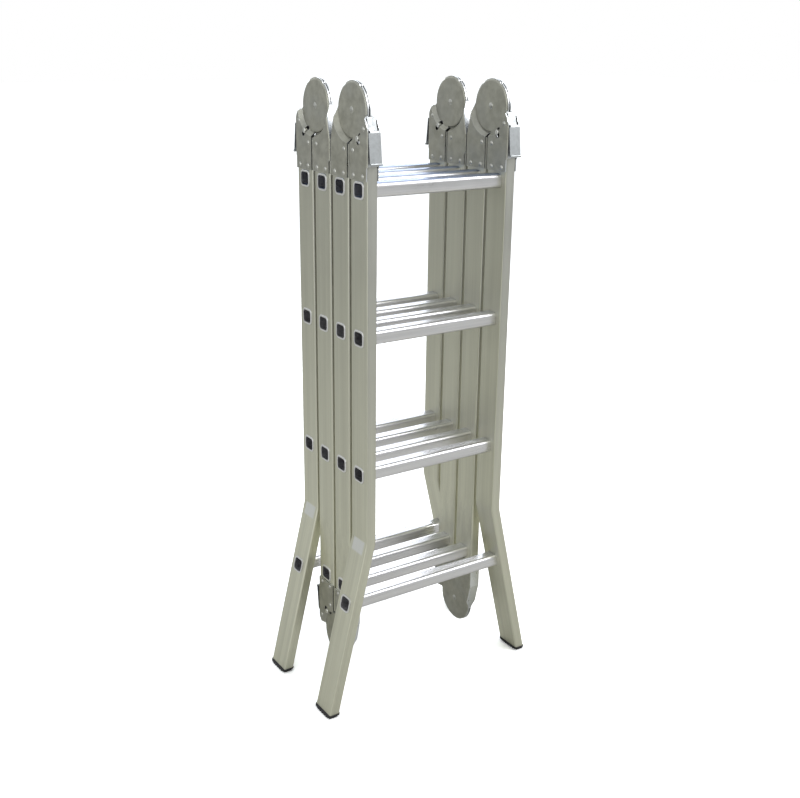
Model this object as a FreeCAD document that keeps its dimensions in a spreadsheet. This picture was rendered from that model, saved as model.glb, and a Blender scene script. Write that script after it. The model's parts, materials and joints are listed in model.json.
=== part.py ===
import FreeCAD, Part

# Multi position ladder, folded: four hinged sections of aluminium stiles and rungs.
#
# Frame: origin on the ground under the middle of the folded stack, X across the rungs, Y through
# the stack from the front outer section to the rear outer section, Z up. Lengths are millimetres.
# Each hinge is drawn in its own frame: origin at the pivot, X along the pivot, the half that
# carries the lock hanging down on the -Y side and the half with the notched discs on the +Y side.
# Places on a hinge half are given as (out, down): away from the other half, and down its leg.

import math
import os

import PartDesign
import Sketcher

Vector = FreeCAD.Vector
Rotation = FreeCAD.Rotation

RUNGS = 4
SIDES = {"left": -1, "right": 1}

# Fold angles, in degrees, at which the lock pin can drop into a notch of the discs.
LOCKED_FOLDS = (0, 35, 115, 180)

# Each section: its place in the stack in section pitches, whether its lower legs splay outwards,
# and, for each end with a hinge, which way in Y that hinge's pivot lies from the stile.
SECTIONS = {
    "front_outer": {"place": -1.5, "splayed": True, "hinges": {"top": 1}},
    "front_inner": {"place": -0.5, "splayed": False, "hinges": {"top": -1, "bottom": 1}},
    "rear_inner": {"place": 0.5, "splayed": False, "hinges": {"top": 1, "bottom": -1}},
    "rear_outer": {"place": 1.5, "splayed": True, "hinges": {"top": -1}},
}

# Each hinge pair: its pivot's place in section pitches, its height, the turn of its own frame, the
# section that carries the lock, and which way out and down that section's leg lies in Y and Z.
HINGES = {
    "front": {
        "place": -1,
        "height": "Dims.top_pivot",
        "turn": Rotation(),
        "lock": "front_outer",
        "out": -1,
        "down": -1,
    },
    "rear": {
        "place": 1,
        "height": "Dims.top_pivot",
        "turn": Rotation(Vector(0, 0, 1), 180),
        "lock": "rear_outer",
        "out": 1,
        "down": -1,
    },
    "bottom": {
        "place": 0,
        "height": "Dims.bottom_pivot",
        "turn": Rotation(Vector(1, 0, 0), 180),
        "lock": "rear_inner",
        "out": 1,
        "down": 1,
    },
}

DIMENSIONS = {
    # The stack of sections.
    "rung_pitch": 280,
    "lowest_rung": 242,
    "section_pitch": 68,
    "stile_centre": 159,
    "top_pivot": 1222,
    "bottom_pivot": 102,
    "stile_setback": 60,
    # Stile tube and its splayed lower leg.
    "stile_depth": 60,
    "stile_width": 22,
    "stile_wall": 1.5,
    "stile_corner": 3.5,
    "bend_height": 377,
    "bend_radius": 60,
    "splay_angle": 13.5,
    # Dent that the bending tool leaves on the outer face, deepest at its top.
    "dent_rise": 2.5,
    "dent_drop": 27,
    "dent_depth": 0.8,
    "dent_width": 44,
    # Rung tube, the tread grooves on it and the swaged rim at each end.
    "rung_depth": 30.5,
    "rung_height": 27.5,
    "rung_corner": 7,
    "rung_wall": 1.2,
    "tread_groove": 1.2,
    "tread_pitch": 3.2,
    "tread_cut": 0.45,
    "rim_margin": 2.7,
    "rim_thickness": 1.6,
    "rim_round": 1.1,
    # Rubber foot.
    "sole_height": 7.5,
    "sole_margin": 1.6,
    "plug_height": 24,
    "foot_tread_depth": 2,
    "foot_tread_width": 3,
    "foot_tread_pitch": 9,
    # Hinge stampings, common to both halves.
    "hinge_sheet": 2.4,
    "web_face": 66.6,
    "web_low": 95,
    "web_high": 38,
    "web_round": 3,
    "plate_front": 63,
    "plate_back": 4.6,
    "plate_low": 121.5,
    # Pressed discs: radius, inner face from the hinge's middle, and the ramp out to the legs.
    "lock_disc": 51,
    "lock_disc_inner": 3.7,
    "lock_disc_round": 4,
    "lock_ramp": 51.5,
    "lock_ramp_width": 6,
    "notched_disc": 52,
    "notched_disc_inner": 1.1,
    "notched_ramp": 51.5,
    "notched_ramp_width": 7.2,
    # Where the notched half's web leaves its leg and runs up at a slope into the rim of its discs.
    "rim_web_low": 59,
    "rim_web_out": 51.3,
    "rim_web_high": 6,
    # Lock pin, its slot and notches.
    "lock_angle": 33,
    "pin_radius": 5,
    "pin_chamfer": 0.8,
    "pin_reach": 14.6,
    "pin_free": 57.4,
    "pin_locked": 54.3,
    "slot_start": 52.5,
    "slot_end": 64,
    "slot_radius": 5.2,
    "notch_radius": 5.3,
    # Release lever and its pivot.
    "lever_out": 53,
    "lever_down": 30,
    "lever_hub": 5,
    "lever_hub_width": 8,
    "lever_tongue_width": 1.8,
    "lever_head_width": 18,
    "lever_handle_width": 25,
    "lever_bead": 2.4,
    "lever_eye": 8.4,
    "lever_eye_play": 0.7,
    # Torsion spring on the lever's pivot.
    "spring_radius": 3.3,
    "spring_wire": 0.5,
    "spring_pitch": 1.05,
    "spring_turns": 3,
    "spring_start": 4.7,
    "spring_low_arm": 7,
    "spring_high_arm": 12,
    # Rivets.
    "rivet_radius": 2.5,
    "rivet_head": 4.4,
    "rivet_head_height": 2,
    "rivet_spread": 16,
    "rivet_low": 114,
    "rivet_high": 70,
    "pivot_radius": 4.2,
    "pivot_head": 6,
    "pivot_head_height": 1.7,
    "spacer_radius": 11,
    # Clearances.
    "fit_gap": 0.05,
    "rung_gap": 0.1,
}

# Places in the hinge's own frame and widths that several pieces share.
HALF_GRIP = "(Dims.stile_width / 2 + Dims.fit_gap + Dims.hinge_sheet)"
LEG_INNER = "(Dims.stile_width / 2 + Dims.fit_gap)"
PIN_OUT = "(Dims.pin_free * sin(Dims.lock_angle * 1deg))"
PIN_DOWN = "(Dims.pin_free * cos(Dims.lock_angle * 1deg))"
FAR = 200

# What is cut away under each end of a foot's sole, as (forward, up) corners.
TOE_CUT = ((13, -0.5), (20, 0.8), (27, 2.9), (36, 6.8), (36, -0.5))

# Outlines on the hinge halves as (out, down) corners in the hinge's own frame.
LOCK_SHOULDER = ((65.2, 27), (61.5, 18.5), (56, 11.5), (47, 4))
NOTCHED_SHOULDER = ((20, 0),)
LEG_INNER_CORNERS = ((40, 8), ("Dims.plate_back", 40), ("Dims.plate_back", "Dims.plate_low"))
LEVER_TONGUE = ((56, 32.5), (50, 27.5), (28, 44.5), (34, 51.5))
LEVER_BRACKET = ((56, 14), (62.8, 33), (54, 33.5), (48, 30), (50, 22))
LEVER_HEAD = (
    (55.6, 9),
    (57.4, 8.5),
    (64.2, 32),
    (68.2, 32.1),
    (70, 35.5),
    (70.3, 38),
    (68.3, 38),
    (66.8, 33.8),
    (62.6, 33.6),
)
LEVER_HANDLE = ((68, 36), (69.9, 35.6), (75.9, 89.6), (74.1, 89.8))
LEVER_BEAD = (76.3, 90.2)


def make_sheet(doc):
    """Put the driving dimensions in a sheet that every sub-part is bound to."""
    sheet = doc.addObject("Spreadsheet::Sheet", "Dims")
    for row, (alias, size) in enumerate(DIMENSIONS.items(), start=1):
        sheet.set(f"A{row}", alias.replace("_", " "))
        sheet.set(f"B{row}", str(size))
        sheet.setAlias(f"B{row}", alias)
    doc.recompute()
    return sheet


def number(doc, expression):
    """Work out an expression on the sheet's cells."""
    if not isinstance(expression, str):
        return float(expression)
    result = doc.Dims.evalExpression(expression)
    return float(getattr(result, "Value", result))


def bind(feature, **expressions):
    """Bind properties of a feature to expressions on the sheet's cells."""
    for prop, expression in expressions.items():
        feature.setExpression(prop, str(expression))


def place(feature, x="0", y="0", z="0", turn=None):
    """Give a feature a placement whose position follows the sheet."""
    doc = feature.Document
    base = Vector(number(doc, x), number(doc, y), number(doc, z))
    feature.Placement = FreeCAD.Placement(base, turn or Rotation())
    for axis, expression in zip("xyz", (x, y, z)):
        feature.setExpression("Placement.Base." + axis, expression)


# ---------------------------------------------------------------- sketches


def new_sketch(body, role, name, offset="0", turn=None):
    """Start a sketch on one of the body's origin planes, moved along its normal."""
    sketch = body.newObject("Sketcher::SketchObject", name)
    origin_plane = next(f for f in body.Origin.OriginFeatures if f.Role == role)
    sketch.AttachmentSupport = (origin_plane, "")
    sketch.MapMode = "FlatFace"
    shift = Vector(0, 0, number(body.Document, offset))
    sketch.AttachmentOffset = FreeCAD.Placement(shift, turn or Rotation())
    if offset != "0":
        sketch.setExpression("AttachmentOffset.Base.z", offset)
    return sketch


def constrain(sketch, kind, *items):
    """Add a constraint; a last item that is text is an expression on the sheet's cells."""
    if not isinstance(items[-1], str):
        sketch.addConstraint(Sketcher.Constraint(kind, *items))
        return
    size = number(sketch.Document, items[-1])
    index = sketch.addConstraint(Sketcher.Constraint(kind, *items[:-1], size))
    name = f"size{index}"
    sketch.renameConstraint(index, name)
    sketch.setExpression("Constraints." + name, items[-1])


def add_polygon(sketch, corners):
    """Draw a closed outline through corners given as pairs of expressions."""
    doc = sketch.Document
    points = [Vector(number(doc, u), number(doc, v), 0) for u, v in corners]
    lines = []
    for start, end in zip(points, points[1:] + points[:1]):
        lines.append(sketch.addGeometry(Part.LineSegment(start, end)))
    for line, following in zip(lines, lines[1:] + lines[:1]):
        constrain(sketch, "Coincident", line, 2, following, 1)
    for line, (u, v) in zip(lines, corners):
        constrain(sketch, "DistanceX", line, 1, str(u))
        constrain(sketch, "DistanceY", line, 1, str(v))


def add_circle(sketch, u, v, radius):
    """Draw a circle whose centre and radius are expressions."""
    doc = sketch.Document
    centre = Vector(number(doc, u), number(doc, v), 0)
    circle = Part.Circle(centre, Vector(0, 0, 1), number(doc, radius))
    index = sketch.addGeometry(circle)
    constrain(sketch, "DistanceX", index, 3, str(u))
    constrain(sketch, "DistanceY", index, 3, str(v))
    constrain(sketch, "Radius", index, radius)


def add_rounded_rectangle(sketch, width, height, radius, centre="0"):
    """Draw a rectangle with round corners, centred on the vertical axis at a height."""
    doc = sketch.Document
    half_w = number(doc, width) / 2
    half_h = number(doc, height) / 2
    r = number(doc, radius)
    mid = number(doc, centre)
    flats = (
        ((-half_w + r, -half_h), (half_w - r, -half_h)),
        ((half_w, -half_h + r), (half_w, half_h - r)),
        ((half_w - r, half_h), (-half_w + r, half_h)),
        ((-half_w, half_h - r), (-half_w, -half_h + r)),
    )
    lines = []
    for (u1, v1), (u2, v2) in flats:
        segment = Part.LineSegment(Vector(u1, v1 + mid, 0), Vector(u2, v2 + mid, 0))
        lines.append(sketch.addGeometry(segment))
    corner_centres = ((1, -1), (1, 1), (-1, 1), (-1, -1))
    arcs = []
    for turn, (u, v) in enumerate(corner_centres):
        centre_point = Vector(u * (half_w - r), v * (half_h - r) + mid, 0)
        start = (turn - 1) * math.pi / 2
        circle = Part.Circle(centre_point, Vector(0, 0, 1), r)
        arc = Part.ArcOfCircle(circle, start, start + math.pi / 2)
        arcs.append(sketch.addGeometry(arc))
    for turn, arc in enumerate(arcs):
        constrain(sketch, "Tangent", lines[turn], 2, arc, 1)
        constrain(sketch, "Tangent", arc, 2, lines[(turn + 1) % 4], 1)
    for turn in (1, 2, 3):
        constrain(sketch, "Equal", arcs[0], arcs[turn])
    constrain(sketch, "Horizontal", lines[0])
    constrain(sketch, "Vertical", lines[1])
    constrain(sketch, "Horizontal", lines[2])
    constrain(sketch, "Vertical", lines[3])
    constrain(sketch, "Radius", arcs[0], radius)
    constrain(sketch, "DistanceX", lines[1], 1, f"({width}) / 2")
    constrain(sketch, "DistanceX", lines[3], 1, f"-({width}) / 2")
    constrain(sketch, "DistanceY", lines[0], 1, f"({centre}) - ({height}) / 2")
    constrain(sketch, "DistanceY", lines[2], 1, f"({centre}) + ({height}) / 2")


def add_slot(sketch, start, end, radius):
    """Draw a slot along the vertical axis between two arc centres."""
    doc = sketch.Document
    low = number(doc, start)
    high = number(doc, end)
    r = number(doc, radius)
    axis = Vector(0, 0, 1)
    top_arc = Part.ArcOfCircle(Part.Circle(Vector(0, high, 0), axis, r), 0, math.pi)
    low_arc = Part.ArcOfCircle(Part.Circle(Vector(0, low, 0), axis, r), math.pi, 2 * math.pi)
    top = sketch.addGeometry(top_arc)
    bottom = sketch.addGeometry(low_arc)
    left = sketch.addGeometry(Part.LineSegment(Vector(-r, high, 0), Vector(-r, low, 0)))
    right = sketch.addGeometry(Part.LineSegment(Vector(r, low, 0), Vector(r, high, 0)))
    constrain(sketch, "Tangent", top, 2, left, 1)
    constrain(sketch, "Tangent", left, 2, bottom, 1)
    constrain(sketch, "Tangent", bottom, 2, right, 1)
    constrain(sketch, "Tangent", right, 2, top, 1)
    constrain(sketch, "Equal", top, bottom)
    constrain(sketch, "Radius", top, radius)
    constrain(sketch, "PointOnObject", top, 3, -2)
    constrain(sketch, "DistanceY", top, 3, end)
    constrain(sketch, "DistanceY", bottom, 3, start)


# ---------------------------------------------------------------- features


def new_body(doc, name):
    """Start a body with the given label."""
    body = doc.addObject("PartDesign::Body", name)
    body.Label = name
    return body


def pad(body, sketch, length, side="Symmetric", reverse=False):
    """Pad a sketch by a length given as an expression."""
    feature = body.newObject("PartDesign::Pad", "Pad")
    feature.Profile = sketch
    feature.SideType = side
    feature.Reversed = reverse
    bind(feature, Length=length)
    return feature


def pocket(body, sketch):
    """Cut a sketch right through the body, both ways from its plane."""
    feature = body.newObject("PartDesign::Pocket", "Pocket")
    feature.Profile = sketch
    feature.SideType = "Symmetric"
    feature.Type = "ThroughAll"
    return feature


def primitive(doc, kind, name, x="0", y="0", z="0", turn=None, **sizes):
    """Make a Part primitive whose sizes and place are expressions."""
    feature = doc.addObject("Part::" + kind, name)
    bind(feature, **sizes)
    place(feature, x, y, z, turn)
    return feature


def fuse(doc, name, parts):
    """Join several shapes into one solid."""
    feature = doc.addObject("Part::MultiFuse", name)
    feature.Shapes = parts
    feature.Refine = True
    return feature


def cut(doc, name, base, tool):
    """Take one shape away from another."""
    feature = doc.addObject("Part::Cut", name)
    feature.Base = base
    feature.Tool = tool
    return feature


def group(doc, name, solids):
    """Gather separate solids of one kind under one label."""
    feature = doc.addObject("Part::Compound", name)
    feature.Links = solids
    feature.Label = name
    return feature


# ---------------------------------------------------------------- stiles


def rung_level(rung):
    """Expression for a rung's height; rung 1 is the lowest."""
    return f"(Dims.lowest_rung + {rung - 1} * Dims.rung_pitch)"


def section_y(section):
    """Expression for the middle of a section in the stack."""
    return f"({SECTIONS[section]['place']} * Dims.section_pitch)"


def hinge_rivets(end, toward):
    """Places (y, z) of the three rivets that hold a hinge leg, from the middle of the stile."""
    sign = -1 if end == "top" else 1
    pivot = f"Dims.{end}_pivot"
    low = f"({pivot} + {sign} * Dims.rivet_low)"
    high = f"({pivot} + {sign} * Dims.rivet_high)"
    inward = f"({toward} * (Dims.section_pitch / 2 - Dims.rivet_spread))"
    return (("(-Dims.rivet_spread)", low), ("Dims.rivet_spread", low), (inward, high))


def cut_stile_holes(body, section, facing):
    """Cut the rung openings and the hinge rivet holes across the stile."""
    openings = new_sketch(body, "YZ_Plane", "RungOpenings")
    for rung in range(1, RUNGS + 1):
        add_rounded_rectangle(
            openings,
            "Dims.rung_depth + 2 * Dims.rung_gap",
            "Dims.rung_height + 2 * Dims.rung_gap",
            "Dims.rung_corner + Dims.rung_gap",
            rung_level(rung),
        )
    pocket(body, openings)
    holes = new_sketch(body, "YZ_Plane", "RivetHoles")
    for end, toward in SECTIONS[section]["hinges"].items():
        for y, z in hinge_rivets(end, toward):
            add_circle(holes, f"{facing} * {y}", z, "Dims.rivet_radius + Dims.fit_gap")
    pocket(body, holes)


def tube_profile(body, height):
    """Draw the stile's hollow section at a height."""
    profile = new_sketch(body, "XY_Plane", "TubeProfile", height)
    add_rounded_rectangle(profile, "Dims.stile_width", "Dims.stile_depth", "Dims.stile_corner")
    add_rounded_rectangle(
        profile,
        "Dims.stile_width - 2 * Dims.stile_wall",
        "Dims.stile_depth - 2 * Dims.stile_wall",
        "Dims.stile_corner - Dims.stile_wall",
    )
    return profile


def straight_stile(doc, section, side):
    """A straight stile of an inner section, hinged at both ends."""
    body = new_body(doc, f"{section}_stile_{side}")
    profile = tube_profile(body, "Dims.top_pivot - Dims.stile_setback")
    length = "Dims.top_pivot - Dims.bottom_pivot - 2 * Dims.stile_setback"
    pad(body, profile, length, side="One side", reverse=True)
    cut_stile_holes(body, section, 1)
    place(body, f"{SIDES[side]} * Dims.stile_centre", section_y(section), "0")
    return body


def bent_path(body):
    """Draw the middle line of a stile that runs straight down, then splays towards +X."""
    doc = body.Document
    path = new_sketch(body, "XZ_Plane", "BentPath")
    splay = math.radians(number(doc, "Dims.splay_angle"))
    radius = number(doc, "Dims.bend_radius")
    top = number(doc, "Dims.top_pivot - Dims.stile_setback")
    arc_top = number(doc, "Dims.bend_height + Dims.bend_radius * tan(Dims.splay_angle / 2 * 1deg)")
    arc_x = number(doc, "Dims.bend_radius * (1 - cos(Dims.splay_angle * 1deg))")
    arc_z = arc_top - number(doc, "Dims.bend_radius * sin(Dims.splay_angle * 1deg)")
    run_out = "Dims.plug_height"
    foot_x = f"(Dims.bend_height + {run_out}) * tan(Dims.splay_angle * 1deg)"
    foot = Vector(number(doc, foot_x), -number(doc, run_out), 0)
    upper = path.addGeometry(Part.LineSegment(Vector(0, top, 0), Vector(0, arc_top, 0)))
    circle = Part.Circle(Vector(radius, arc_top, 0), Vector(0, 0, 1), radius)
    arc = path.addGeometry(Part.ArcOfCircle(circle, math.pi, math.pi + splay))
    lower = path.addGeometry(Part.LineSegment(Vector(arc_x, arc_z, 0), foot))
    constrain(path, "Tangent", upper, 2, arc, 1)
    constrain(path, "Tangent", arc, 2, lower, 1)
    constrain(path, "PointOnObject", upper, 1, -2)
    constrain(path, "Vertical", upper)
    constrain(path, "DistanceY", upper, 1, "Dims.top_pivot - Dims.stile_setback")
    constrain(path, "Radius", arc, "Dims.bend_radius")
    constrain(path, "DistanceX", lower, 2, foot_x)
    constrain(path, "DistanceY", lower, 2, f"-{run_out}")
    return path


def cut_dent(body):
    """Press the shallow dent of the bending tool into the outer face just below the bend."""
    inner = "(Dims.stile_width / 2 - Dims.dent_depth)"
    top = "(Dims.bend_height + Dims.dent_rise)"
    low = "(Dims.bend_height - Dims.dent_drop)"
    splay = "(Dims.splay_angle * 1deg)"
    leg_face = f"(Dims.dent_drop * tan({splay}) + Dims.stile_width / 2 / cos({splay}))"
    outside = "(Dims.stile_centre / 2)"
    dent = new_sketch(body, "XZ_Plane", "Dent")
    add_polygon(dent, ((inner, top), (leg_face, low), (outside, low), (outside, f"{top} + {outside}")))
    feature = pocket(body, dent)
    feature.Type = "Length"
    bind(feature, Length="Dims.dent_width")


def splayed_stile(doc, section, side):
    """A stile of an outer section, bent outwards below its third rung and cut level at the foot."""
    body = new_body(doc, f"{section}_stile_{side}")
    profile = tube_profile(body, "Dims.top_pivot - Dims.stile_setback")
    path = bent_path(body)
    pipe = body.newObject("PartDesign::AdditivePipe", "BentTube")
    pipe.Profile = profile
    pipe.Spine = path
    foot_cut = new_sketch(body, "XZ_Plane", "FootCut")
    low = "-Dims.bend_height"
    floor = "Dims.sole_height + Dims.fit_gap"
    add_polygon(foot_cut, ((0, low), ("Dims.bend_height", low), ("Dims.bend_height", floor), (0, floor)))
    pocket(body, foot_cut)
    cut_dent(body)
    facing = SIDES[side]
    cut_stile_holes(body, section, facing)
    turn = Rotation() if facing > 0 else Rotation(Vector(0, 0, 1), 180)
    place(body, f"{facing} * Dims.stile_centre", section_y(section), "0", turn)
    return body


# ---------------------------------------------------------------- rungs


def rung(doc, section, level):
    """A ribbed rung tube with a swaged rim outside each stile; it follows a splayed leg's slope."""
    in_leg = SECTIONS[section]["splayed"] and level == 1
    body = new_body(doc, f"{section}_rung_{level}")
    tilt = number(doc, "Dims.splay_angle") if in_leg else 0
    slope = "tan(Dims.splay_angle * 1deg)" if in_leg else "0"
    drop = f"(Dims.bend_height - {rung_level(1)})" if in_leg else "0"
    half_wall = "Dims.stile_width / 2"
    if in_leg:
        half_wall = "Dims.stile_width / 2 / cos(Dims.splay_angle * 1deg)"
    face_x = f"(Dims.stile_centre + {drop} * {slope} + {half_wall} + Dims.fit_gap)"
    spread = f"(Dims.rung_height * {slope})"
    tube = new_sketch(body, "YZ_Plane", "Tube")
    add_rounded_rectangle(tube, "Dims.rung_depth", "Dims.rung_height", "Dims.rung_corner")
    pad(body, tube, f"2 * ({face_x} + Dims.rim_thickness / 2 + {spread})")
    grooves = new_sketch(body, "YZ_Plane", "TreadGrooves")
    for step in (-2, -1, 0, 1, 2):
        low = f"({step} * Dims.tread_pitch - Dims.tread_groove / 2)"
        high = f"({step} * Dims.tread_pitch + Dims.tread_groove / 2)"
        crest = "Dims.rung_height / 2 + 1"
        root = "(Dims.rung_height / 2 - Dims.tread_cut)"
        add_polygon(grooves, ((low, root), (high, root), (high, crest), (low, crest)))
    pocket(body, grooves)
    for facing in (-1, 1):
        shift = f"{facing} * ({face_x} + Dims.rim_thickness / 2)"
        rim = new_sketch(body, "YZ_Plane", "Rim", shift, Rotation(Vector(1, 0, 0), -facing * tilt))
        add_rounded_rectangle(
            rim,
            "Dims.rung_depth + 2 * Dims.rim_margin",
            "Dims.rung_height + 2 * Dims.rim_margin",
            "Dims.rung_corner + Dims.rim_margin",
        )
        pad(body, rim, "Dims.rim_thickness")
    body.Document.recompute()
    if in_leg:
        trim_slanted_ends(body, face_x)
    else:
        round_edges(body, body.Tip, rim_edges(body.Tip.Shape), "Dims.rim_round")
    bore = new_sketch(body, "YZ_Plane", "Bore")
    add_rounded_rectangle(
        bore,
        "Dims.rung_depth - 2 * Dims.rung_wall",
        "Dims.rung_height - 2 * Dims.rung_wall",
        "Dims.rung_corner - Dims.rung_wall",
    )
    pocket(body, bore)
    place(body, "0", section_y(section), rung_level(level))
    return body


def rim_edges(shape):
    """Names of the edges round the outer faces of the two rims, which are the tube's end faces."""
    ends = sorted(shape.Faces, key=lambda face: abs(face.CenterOfMass.x))[-2:]
    names = []
    for index, edge in enumerate(shape.Edges, start=1):
        if any(edge.isSame(other) for face in ends for other in face.OuterWire.Edges):
            names.append(f"Edge{index}")
    return names


def trim_slanted_ends(body, face_x):
    """Cut the tube's ends flush with the outer faces of the slanted rims."""
    reach = "Dims.rung_height"
    lean = f"{reach} * tan(Dims.splay_angle * 1deg)"
    half_rim = "Dims.rim_thickness / 2"
    edge = f"({face_x} + {half_rim} + {half_rim} / cos(Dims.splay_angle * 1deg))"
    for facing in (-1, 1):
        trim = new_sketch(body, "XZ_Plane", "EndTrim")
        add_polygon(
            trim,
            (
                (f"{facing} * ({edge} - {lean})", reach),
                (f"{facing} * ({edge} + {lean})", f"-{reach}"),
                (f"{facing} * ({edge} + 4 * {lean})", f"-{reach}"),
                (f"{facing} * ({edge} + 4 * {lean})", reach),
            ),
        )
        pocket(body, trim)


# ---------------------------------------------------------------- feet


def slant_pad(body, sketch, length):
    """Pad a level sketch along the leg's slope, to a height given as an expression."""
    feature = pad(body, sketch, length, side="One side")
    splay = math.radians(number(body.Document, "Dims.splay_angle"))
    feature.UseCustomVector = True
    feature.Direction = Vector(-math.sin(splay), 0, math.cos(splay))
    feature.AlongSketchNormal = True
    return feature


def foot(doc, section, side):
    """A rubber sole under the leg, with a plug that fills the leg's open end."""
    body = new_body(doc, f"{section}_foot_{side}")
    slant = "cos(Dims.splay_angle * 1deg)"
    sole = new_sketch(body, "XY_Plane", "Sole")
    add_rounded_rectangle(
        sole,
        f"Dims.stile_width / {slant} + 2 * Dims.sole_margin",
        "Dims.stile_depth + 2 * Dims.sole_margin",
        "Dims.stile_corner + Dims.sole_margin",
    )
    slant_pad(body, sole, "Dims.sole_height")
    toes = new_sketch(body, "YZ_Plane", "Toes")
    for facing in (-1, 1):
        add_polygon(toes, [(f"{facing} * {forward}", up) for forward, up in TOE_CUT])
    pocket(body, toes)
    plug = new_sketch(body, "XY_Plane", "Plug")
    add_rounded_rectangle(
        plug,
        f"(Dims.stile_width - 2 * Dims.stile_wall) / {slant} - 2 * Dims.rung_gap",
        "Dims.stile_depth - 2 * Dims.stile_wall - 2 * Dims.rung_gap",
        "Dims.stile_corner - Dims.stile_wall",
    )
    slant_pad(body, plug, "Dims.sole_height + Dims.plug_height")
    treads = new_sketch(body, "YZ_Plane", "Treads")
    for step in (-2.5, -1.5, -0.5, 0.5, 1.5, 2.5):
        low = f"({step} * Dims.foot_tread_pitch - Dims.foot_tread_width / 2)"
        high = f"({step} * Dims.foot_tread_pitch + Dims.foot_tread_width / 2)"
        top = "Dims.foot_tread_depth"
        add_polygon(treads, ((low, "-1"), (high, "-1"), (high, top), (low, top)))
    pocket(body, treads)
    facing = SIDES[side]
    turn = Rotation() if facing > 0 else Rotation(Vector(0, 0, 1), 180)
    foot_x = f"{facing} * (Dims.stile_centre + Dims.bend_height * tan(Dims.splay_angle * 1deg))"
    place(body, foot_x, section_y(section), "0", turn)
    return body


# ---------------------------------------------------------------- hinge halves


def hinge_place(feature, hinge, side):
    """Move a piece from the hinge's own frame to its place on the ladder."""
    data = HINGES[hinge]
    x = f"{SIDES[side]} * Dims.stile_centre"
    place(feature, x, f"{data['place']} * Dims.section_pitch", data["height"], data["turn"])


def on_half(hand, corners):
    """Turn (out, down) corners of a hinge half into (y, z) pairs; hand is the half's side in Y."""
    return [(f"{hand} * ({out})", f"-({down})") for out, down in corners]


def outline_edges(shape, hand, corners):
    """Names of the leg's outer edges that run between neighbouring corners of its outline."""
    ends = {(round(hand * out, 2), round(-down, 2)) for out, down in corners}
    names = []
    for index, edge in enumerate(shape.Edges, start=1):
        places = {(round(v.Y, 2), round(v.Z, 2)) for v in edge.Vertexes}
        if edge.BoundBox.XLength < 0.01 and len(places) == 2 and places <= ends:
            names.append(f"Edge{index}")
    return names


def round_edges(body, base, names, radius):
    """Round named edges of a feature by a radius given as an expression."""
    rounding = body.newObject("PartDesign::Fillet", "Rounding")
    rounding.Base = (base, names)
    bind(rounding, Radius=radius)
    return rounding


def half_blank(body, hand, front, shoulder, disc_radius, disc_face):
    """Outline of a hinge half as a solid, before its inside and its pressed disc are cut."""
    doc = body.Document
    web_foot = ("Dims.plate_front", "Dims.web_low + Dims.web_face - Dims.plate_front")
    corners = (("Dims.plate_front", "Dims.plate_low"), web_foot) + front + shoulder + LEG_INNER_CORNERS
    leg = new_sketch(body, "YZ_Plane", "LegOutline")
    add_polygon(leg, on_half(hand, corners))
    leg_pad = pad(body, leg, f"2 * {HALF_GRIP}")
    doc.recompute()
    web_corners = [(number(doc, out), number(doc, down)) for out, down in front]
    round_edges(body, leg_pad, outline_edges(leg_pad.Shape, hand, web_corners), "Dims.web_round")
    disc = new_sketch(body, "YZ_Plane", "Disc")
    circle = disc.addGeometry(Part.Circle(Vector(), Vector(0, 0, 1), number(doc, disc_radius)))
    constrain(disc, "Coincident", circle, 3, -1, 1)
    constrain(disc, "Radius", circle, disc_radius)
    return pad(body, disc, f"2 * {disc_face}")


def half_holes(body, hand):
    """Bore the pivot and the three rivet holes of a hinge half."""
    doc = body.Document
    holes = new_sketch(body, "YZ_Plane", "Holes")
    bore = holes.addGeometry(Part.Circle(Vector(), Vector(0, 0, 1), number(doc, "Dims.pivot_radius")))
    constrain(holes, "Coincident", bore, 3, -1, 1)
    constrain(holes, "Radius", bore, "Dims.pivot_radius + Dims.fit_gap")
    for y, z in half_rivets(hand):
        add_circle(holes, y, z, "Dims.rivet_radius + Dims.fit_gap")
    pocket(body, holes)


def half_rivets(hand):
    """Places (y, z) of the rivets of a hinge half in the hinge's own frame."""
    middle = "Dims.section_pitch / 2"
    places = (
        (f"{middle} - Dims.rivet_spread", "Dims.rivet_low"),
        (f"{middle} + Dims.rivet_spread", "Dims.rivet_low"),
        ("Dims.rivet_spread", "Dims.rivet_high"),
    )
    return on_half(hand, places)


def cone_pair(doc, name, inner_face, start_radius, outer_face, end_radius):
    """Two cones that flare outwards from the middle of the hinge, one towards each side."""
    cones = []
    for facing in (-1, 1):
        cone = primitive(
            doc,
            "Cone",
            name,
            x=f"{facing} * ({inner_face})",
            turn=Rotation(Vector(0, 1, 0), 90 * facing),
            Radius1=start_radius,
            Radius2=end_radius,
            Height=f"({outer_face}) - ({inner_face})",
        )
        cones.append(cone)
    return cones


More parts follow.
